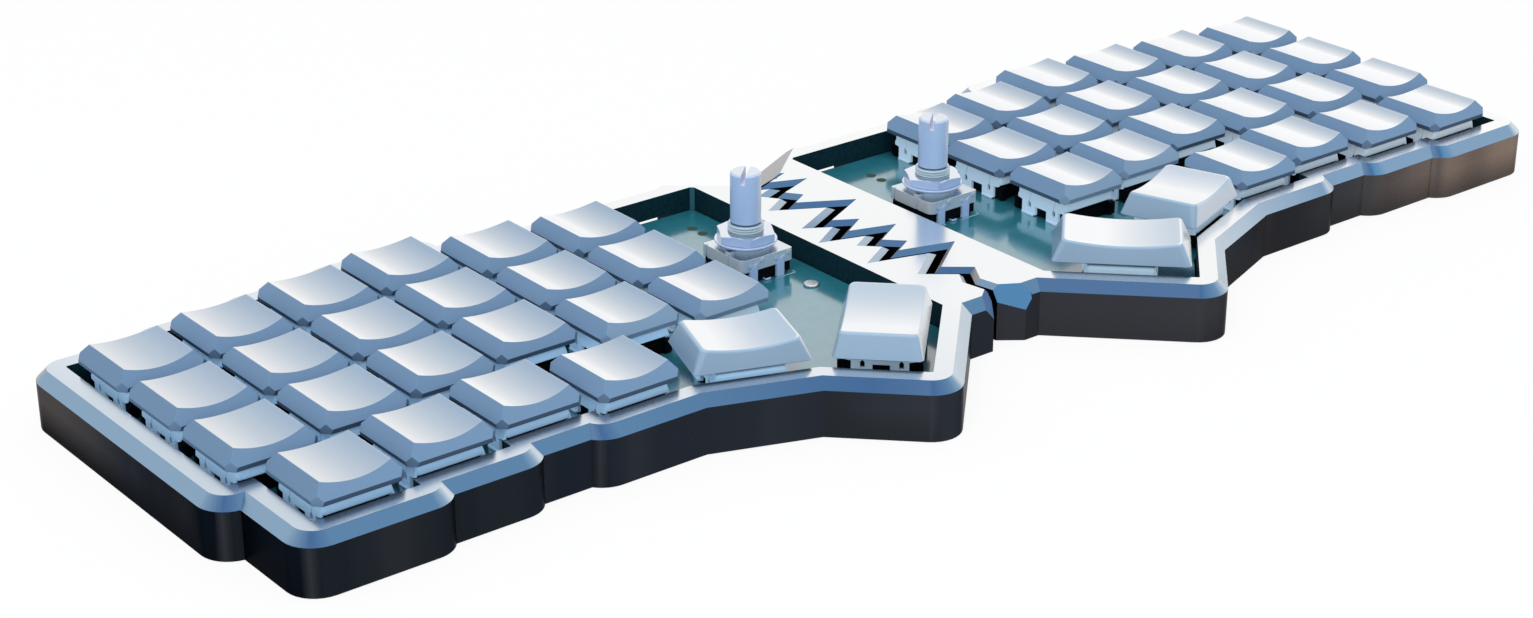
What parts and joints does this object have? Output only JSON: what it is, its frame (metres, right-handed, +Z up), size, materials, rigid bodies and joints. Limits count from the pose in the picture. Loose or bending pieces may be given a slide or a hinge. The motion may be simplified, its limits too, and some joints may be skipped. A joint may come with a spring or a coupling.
{
  "type": "split keyboard",
  "caption": "Split keyboard in two free-standing halves with staggered keys, thumb keys and a turning dial shaft in each, whose cases meet along a zigzag seam.",
  "frame": {"origin": "on the desk, midway between the halves and midway from back to front", "axes": "+X to the right, +Y towards the back, +Z up"},
  "size_m": [0.3124, 0.1146, 0.0267],
  "materials": {
    "case_plastic": "satin",
    "board_laminate": "gloss",
    "switch_plastic": "satin",
    "encoder_metal": "satin",
    "shaft_metal": "satin",
    "screw_metal": "satin",
    "finger_cap_plastic": "satin",
    "thumb_cap_plastic": "gloss"
  },
  "bodies": {
    "left_half": {"left_case": "case_plastic", "left_board": "board_laminate", "left_switches": "switch_plastic", "left_encoder": "encoder_metal", "left_screws": "screw_metal"},
    "left_dial": {"left_encoder_shaft": "shaft_metal"},
    "left_key_r1c1_body": {"left_key_r1c1": "finger_cap_plastic"},
    "left_key_r2c1_body": {"left_key_r2c1": "finger_cap_plastic"},
    "left_key_r3c1_body": {"left_key_r3c1": "finger_cap_plastic"},
    "left_key_r1c2_body": {"left_key_r1c2": "finger_cap_plastic"},
    "left_key_r2c2_body": {"left_key_r2c2": "finger_cap_plastic"},
    "left_key_r3c2_body": {"left_key_r3c2": "finger_cap_plastic"},
    "left_key_r1c3_body": {"left_key_r1c3": "finger_cap_plastic"},
    "left_key_r2c3_body": {"left_key_r2c3": "finger_cap_plastic"},
    "left_key_r3c3_body": {"left_key_r3c3": "finger_cap_plastic"},
    "left_key_r1c4_body": {"left_key_r1c4": "finger_cap_plastic"},
    "left_key_r2c4_body": {"left_key_r2c4": "finger_cap_plastic"},
    "left_key_r3c4_body": {"left_key_r3c4": "finger_cap_plastic"},
    "left_key_r1c5_body": {"left_key_r1c5": "finger_cap_plastic"},
    "left_key_r2c5_body": {"left_key_r2c5": "finger_cap_plastic"},
    "left_key_r3c5_body": {"left_key_r3c5": "finger_cap_plastic"},
    "left_key_r1c6_body": {"left_key_r1c6": "finger_cap_plastic"},
    "left_key_r2c6_body": {"left_key_r2c6": "finger_cap_plastic"},
    "left_key_r3c6_body": {"left_key_r3c6": "finger_cap_plastic"},
    "left_key_r4c1_body": {"left_key_r4c1": "finger_cap_plastic"},
    "left_key_r4c2_body": {"left_key_r4c2": "finger_cap_plastic"},
    "left_key_r4c3_body": {"left_key_r4c3": "finger_cap_plastic"},
    "left_key_r4c4_body": {"left_key_r4c4": "finger_cap_plastic"},
    "left_near_thumb_key_body": {"left_near_thumb_key": "thumb_cap_plastic"},
    "left_far_thumb_key_body": {"left_far_thumb_key": "thumb_cap_plastic"},
    "right_half": {"right_case": "case_plastic", "right_board": "board_laminate", "right_switches": "switch_plastic", "right_encoder": "encoder_metal", "right_screws": "screw_metal"},
    "right_dial": {"right_encoder_shaft": "shaft_metal"},
    "right_key_r1c1_body": {"right_key_r1c1": "finger_cap_plastic"},
    "right_key_r2c1_body": {"right_key_r2c1": "finger_cap_plastic"},
    "right_key_r3c1_body": {"right_key_r3c1": "finger_cap_plastic"},
    "right_key_r1c2_body": {"right_key_r1c2": "finger_cap_plastic"},
    "right_key_r2c2_body": {"right_key_r2c2": "finger_cap_plastic"},
    "right_key_r3c2_body": {"right_key_r3c2": "finger_cap_plastic"},
    "right_key_r1c3_body": {"right_key_r1c3": "finger_cap_plastic"},
    "right_key_r2c3_body": {"right_key_r2c3": "finger_cap_plastic"},
    "right_key_r3c3_body": {"right_key_r3c3": "finger_cap_plastic"},
    "right_key_r1c4_body": {"right_key_r1c4": "finger_cap_plastic"},
    "right_key_r2c4_body": {"right_key_r2c4": "finger_cap_plastic"},
    "right_key_r3c4_body": {"right_key_r3c4": "finger_cap_plastic"},
    "right_key_r1c5_body": {"right_key_r1c5": "finger_cap_plastic"},
    "right_key_r2c5_body": {"right_key_r2c5": "finger_cap_plastic"},
    "right_key_r3c5_body": {"right_key_r3c5": "finger_cap_plastic"},
    "right_key_r1c6_body": {"right_key_r1c6": "finger_cap_plastic"},
    "right_key_r2c6_body": {"right_key_r2c6": "finger_cap_plastic"},
    "right_key_r3c6_body": {"right_key_r3c6": "finger_cap_plastic"},
    "right_key_r4c1_body": {"right_key_r4c1": "finger_cap_plastic"},
    "right_key_r4c2_body": {"right_key_r4c2": "finger_cap_plastic"},
    "right_key_r4c3_body": {"right_key_r4c3": "finger_cap_plastic"},
    "right_key_r4c4_body": {"right_key_r4c4": "finger_cap_plastic"},
    "right_near_thumb_key_body": {"right_near_thumb_key": "thumb_cap_plastic"},
    "right_far_thumb_key_body": {"right_far_thumb_key": "thumb_cap_plastic"}
  },
  "joints": [
    {"name": "halves_apart", "type": "slide", "parent": "left_half", "child": "right_half", "axis": [1, 0, 0], "range_m": [0, 0.12]},
    {"name": "left_dial_turn", "type": "hinge", "parent": "left_half", "child": "left_dial", "pos_m": [-0.024, 0.01295, 0.02], "axis": [0, 0, 1], "continuous": true},
    {"name": "left_key_r1c1_press", "type": "slide", "parent": "left_half", "child": "left_key_r1c1_body", "axis": [0, 0, -1], "range_m": [0, 0.0028], "stiffness_N_per_m": 150, "springref_m": -0.0015},
    {"name": "left_key_r2c1_press", "type": "slide", "parent": "left_half", "child": "left_key_r2c1_body", "axis": [0, 0, -1], "range_m": [0, 0.0028], "stiffness_N_per_m": 150, "springref_m": -0.0015},
    {"name": "left_key_r3c1_press", "type": "slide", "parent": "left_half", "child": "left_key_r3c1_body", "axis": [0, 0, -1], "range_m": [0, 0.0028], "stiffness_N_per_m": 150, "springref_m": -0.0015},
    {"name": "left_key_r1c2_press", "type": "slide", "parent": "left_half", "child": "left_key_r1c2_body", "axis": [0, 0, -1], "range_m": [0, 0.0028], "stiffness_N_per_m": 150, "springref_m": -0.0015},
    {"name": "left_key_r2c2_press", "type": "slide", "parent": "left_half", "child": "left_key_r2c2_body", "axis": [0, 0, -1], "range_m": [0, 0.0028], "stiffness_N_per_m": 150, "springref_m": -0.0015},
    {"name": "left_key_r3c2_press", "type": "slide", "parent": "left_half", "child": "left_key_r3c2_body", "axis": [0, 0, -1], "range_m": [0, 0.0028], "stiffness_N_per_m": 150, "springref_m": -0.0015},
    {"name": "left_key_r1c3_press", "type": "slide", "parent": "left_half", "child": "left_key_r1c3_body", "axis": [0, 0, -1], "range_m": [0, 0.0028], "stiffness_N_per_m": 150, "springref_m": -0.0015},
    {"name": "left_key_r2c3_press", "type": "slide", "parent": "left_half", "child": "left_key_r2c3_body", "axis": [0, 0, -1], "range_m": [0, 0.0028], "stiffness_N_per_m": 150, "springref_m": -0.0015},
    {"name": "left_key_r3c3_press", "type": "slide", "parent": "left_half", "child": "left_key_r3c3_body", "axis": [0, 0, -1], "range_m": [0, 0.0028], "stiffness_N_per_m": 150, "springref_m": -0.0015},
    {"name": "left_key_r1c4_press", "type": "slide", "parent": "left_half", "child": "left_key_r1c4_body", "axis": [0, 0, -1], "range_m": [0, 0.0028], "stiffness_N_per_m": 150, "springref_m": -0.0015},
    {"name": "left_key_r2c4_press", "type": "slide", "parent": "left_half", "child": "left_key_r2c4_body", "axis": [0, 0, -1], "range_m": [0, 0.0028], "stiffness_N_per_m": 150, "springref_m": -0.0015},
    {"name": "left_key_r3c4_press", "type": "slide", "parent": "left_half", "child": "left_key_r3c4_body", "axis": [0, 0, -1], "range_m": [0, 0.0028], "stiffness_N_per_m": 150, "springref_m": -0.0015},
    {"name": "left_key_r1c5_press", "type": "slide", "parent": "left_half", "child": "left_key_r1c5_body", "axis": [0, 0, -1], "range_m": [0, 0.0028], "stiffness_N_per_m": 150, "springref_m": -0.0015},
    {"name": "left_key_r2c5_press", "type": "slide", "parent": "left_half", "child": "left_key_r2c5_body", "axis": [0, 0, -1], "range_m": [0, 0.0028], "stiffness_N_per_m": 150, "springref_m": -0.0015},
    {"name": "left_key_r3c5_press", "type": "slide", "parent": "left_half", "child": "left_key_r3c5_body", "axis": [0, 0, -1], "range_m": [0, 0.0028], "stiffness_N_per_m": 150, "springref_m": -0.0015},
    {"name": "left_key_r1c6_press", "type": "slide", "parent": "left_half", "child": "left_key_r1c6_body", "axis": [0, 0, -1], "range_m": [0, 0.0028], "stiffness_N_per_m": 150, "springref_m": -0.0015},
    {"name": "left_key_r2c6_press", "type": "slide", "parent": "left_half", "child": "left_key_r2c6_body", "axis": [0, 0, -1], "range_m": [0, 0.0028], "stiffness_N_per_m": 150, "springref_m": -0.0015},
    {"name": "left_key_r3c6_press", "type": "slide", "parent": "left_half", "child": "left_key_r3c6_body", "axis": [0, 0, -1], "range_m": [0, 0.0028], "stiffness_N_per_m": 150, "springref_m": -0.0015},
    {"name": "left_key_r4c1_press", "type": "slide", "parent": "left_half", "child": "left_key_r4c1_body", "axis": [0, 0, -1], "range_m": [0, 0.0028], "stiffness_N_per_m": 150, "springref_m": -0.0015},
    {"name": "left_key_r4c2_press", "type": "slide", "parent": "left_half", "child": "left_key_r4c2_body", "axis": [0, 0, -1], "range_m": [0, 0.0028], "stiffness_N_per_m": 150, "springref_m": -0.0015},
    {"name": "left_key_r4c3_press", "type": "slide", "parent": "left_half", "child": "left_key_r4c3_body", "axis": [0, 0, -1], "range_m": [0, 0.0028], "stiffness_N_per_m": 150, "springref_m": -0.0015},
    {"name": "left_key_r4c4_press", "type": "slide", "parent": "left_half", "child": "left_key_r4c4_body", "axis": [0, 0, -1], "range_m": [0, 0.0028], "stiffness_N_per_m": 150, "springref_m": -0.0015},
    {"name": "left_near_thumb_key_press", "type": "slide", "parent": "left_half", "child": "left_near_thumb_key_body", "axis": [0, 0, -1], "range_m": [0, 0.0028], "stiffness_N_per_m": 150, "springref_m": -0.0015},
    {"name": "left_far_thumb_key_press", "type": "slide", "parent": "left_half", "child": "left_far_thumb_key_body", "axis": [0, 0, -1], "range_m": [0, 0.0028], "stiffness_N_per_m": 150, "springref_m": -0.0015},
    {"name": "right_dial_turn", "type": "hinge", "parent": "right_half", "child": "right_dial", "pos_m": [0.024, 0.01295, 0.02], "axis": [0, 0, 1], "continuous": true},
    {"name": "right_key_r1c1_press", "type": "slide", "parent": "right_half", "child": "right_key_r1c1_body", "axis": [0, 0, -1], "range_m": [0, 0.0028], "stiffness_N_per_m": 150, "springref_m": -0.0015},
    {"name": "right_key_r2c1_press", "type": "slide", "parent": "right_half", "child": "right_key_r2c1_body", "axis": [0, 0, -1], "range_m": [0, 0.0028], "stiffness_N_per_m": 150, "springref_m": -0.0015},
    {"name": "right_key_r3c1_press", "type": "slide", "parent": "right_half", "child": "right_key_r3c1_body", "axis": [0, 0, -1], "range_m": [0, 0.0028], "stiffness_N_per_m": 150, "springref_m": -0.0015},
    {"name": "right_key_r1c2_press", "type": "slide", "parent": "right_half", "child": "right_key_r1c2_body", "axis": [0, 0, -1], "range_m": [0, 0.0028], "stiffness_N_per_m": 150, "springref_m": -0.0015},
    {"name": "right_key_r2c2_press", "type": "slide", "parent": "right_half", "child": "right_key_r2c2_body", "axis": [0, 0, -1], "range_m": [0, 0.0028], "stiffness_N_per_m": 150, "springref_m": -0.0015},
    {"name": "right_key_r3c2_press", "type": "slide", "parent": "right_half", "child": "right_key_r3c2_body", "axis": [0, 0, -1], "range_m": [0, 0.0028], "stiffness_N_per_m": 150, "springref_m": -0.0015},
    {"name": "right_key_r1c3_press", "type": "slide", "parent": "right_half", "child": "right_key_r1c3_body", "axis": [0, 0, -1], "range_m": [0, 0.0028], "stiffness_N_per_m": 150, "springref_m": -0.0015},
    {"name": "right_key_r2c3_press", "type": "slide", "parent": "right_half", "child": "right_key_r2c3_body", "axis": [0, 0, -1], "range_m": [0, 0.0028], "stiffness_N_per_m": 150, "springref_m": -0.0015},
    {"name": "right_key_r3c3_press", "type": "slide", "parent": "right_half", "child": "right_key_r3c3_body", "axis": [0, 0, -1], "range_m": [0, 0.0028], "stiffness_N_per_m": 150, "springref_m": -0.0015},
    {"name": "right_key_r1c4_press", "type": "slide", "parent": "right_half", "child": "right_key_r1c4_body", "axis": [0, 0, -1], "range_m": [0, 0.0028], "stiffness_N_per_m": 150, "springref_m": -0.0015},
    {"name": "right_key_r2c4_press", "type": "slide", "parent": "right_half", "child": "right_key_r2c4_body", "axis": [0, 0, -1], "range_m": [0, 0.0028], "stiffness_N_per_m": 150, "springref_m": -0.0015},
    {"name": "right_key_r3c4_press", "type": "slide", "parent": "right_half", "child": "right_key_r3c4_body", "axis": [0, 0, -1], "range_m": [0, 0.0028], "stiffness_N_per_m": 150, "springref_m": -0.0015},
    {"name": "right_key_r1c5_press", "type": "slide", "parent": "right_half", "child": "right_key_r1c5_body", "axis": [0, 0, -1], "range_m": [0, 0.0028], "stiffness_N_per_m": 150, "springref_m": -0.0015},
    {"name": "right_key_r2c5_press", "type": "slide", "parent": "right_half", "child": "right_key_r2c5_body", "axis": [0, 0, -1], "range_m": [0, 0.0028], "stiffness_N_per_m": 150, "springref_m": -0.0015},
    {"name": "right_key_r3c5_press", "type": "slide", "parent": "right_half", "child": "right_key_r3c5_body", "axis": [0, 0, -1], "range_m": [0, 0.0028], "stiffness_N_per_m": 150, "springref_m": -0.0015},
    {"name": "right_key_r1c6_press", "type": "slide", "parent": "right_half", "child": "right_key_r1c6_body", "axis": [0, 0, -1], "range_m": [0, 0.0028], "stiffness_N_per_m": 150, "springref_m": -0.0015},
    {"name": "right_key_r2c6_press", "type": "slide", "parent": "right_half", "child": "right_key_r2c6_body", "axis": [0, 0, -1], "range_m": [0, 0.0028], "stiffness_N_per_m": 150, "springref_m": -0.0015},
    {"name": "right_key_r3c6_press", "type": "slide", "parent": "right_half", "child": "right_key_r3c6_body", "axis": [0, 0, -1], "range_m": [0, 0.0028], "stiffness_N_per_m": 150, "springref_m": -0.0015},
    {"name": "right_key_r4c1_press", "type": "slide", "parent": "right_half", "child": "right_key_r4c1_body", "axis": [0, 0, -1], "range_m": [0, 0.0028], "stiffness_N_per_m": 150, "springref_m": -0.0015},
    {"name": "right_key_r4c2_press", "type": "slide", "parent": "right_half", "child": "right_key_r4c2_body", "axis": [0, 0, -1], "range_m": [0, 0.0028], "stiffness_N_per_m": 150, "springref_m": -0.0015},
    {"name": "right_key_r4c3_press", "type": "slide", "parent": "right_half", "child": "right_key_r4c3_body", "axis": [0, 0, -1], "range_m": [0, 0.0028], "stiffness_N_per_m": 150, "springref_m": -0.0015},
    {"name": "right_key_r4c4_press", "type": "slide", "parent": "right_half", "child": "right_key_r4c4_body", "axis": [0, 0, -1], "range_m": [0, 0.0028], "stiffness_N_per_m": 150, "springref_m": -0.0015},
    {"name": "right_near_thumb_key_press", "type": "slide", "parent": "right_half", "child": "right_near_thumb_key_body", "axis": [0, 0, -1], "range_m": [0, 0.0028], "stiffness_N_per_m": 150, "springref_m": -0.0015},
    {"name": "right_far_thumb_key_press", "type": "slide", "parent": "right_half", "child": "right_far_thumb_key_body", "axis": [0, 0, -1], "range_m": [0, 0.0028], "stiffness_N_per_m": 150, "springref_m": -0.0015}
  ]
}
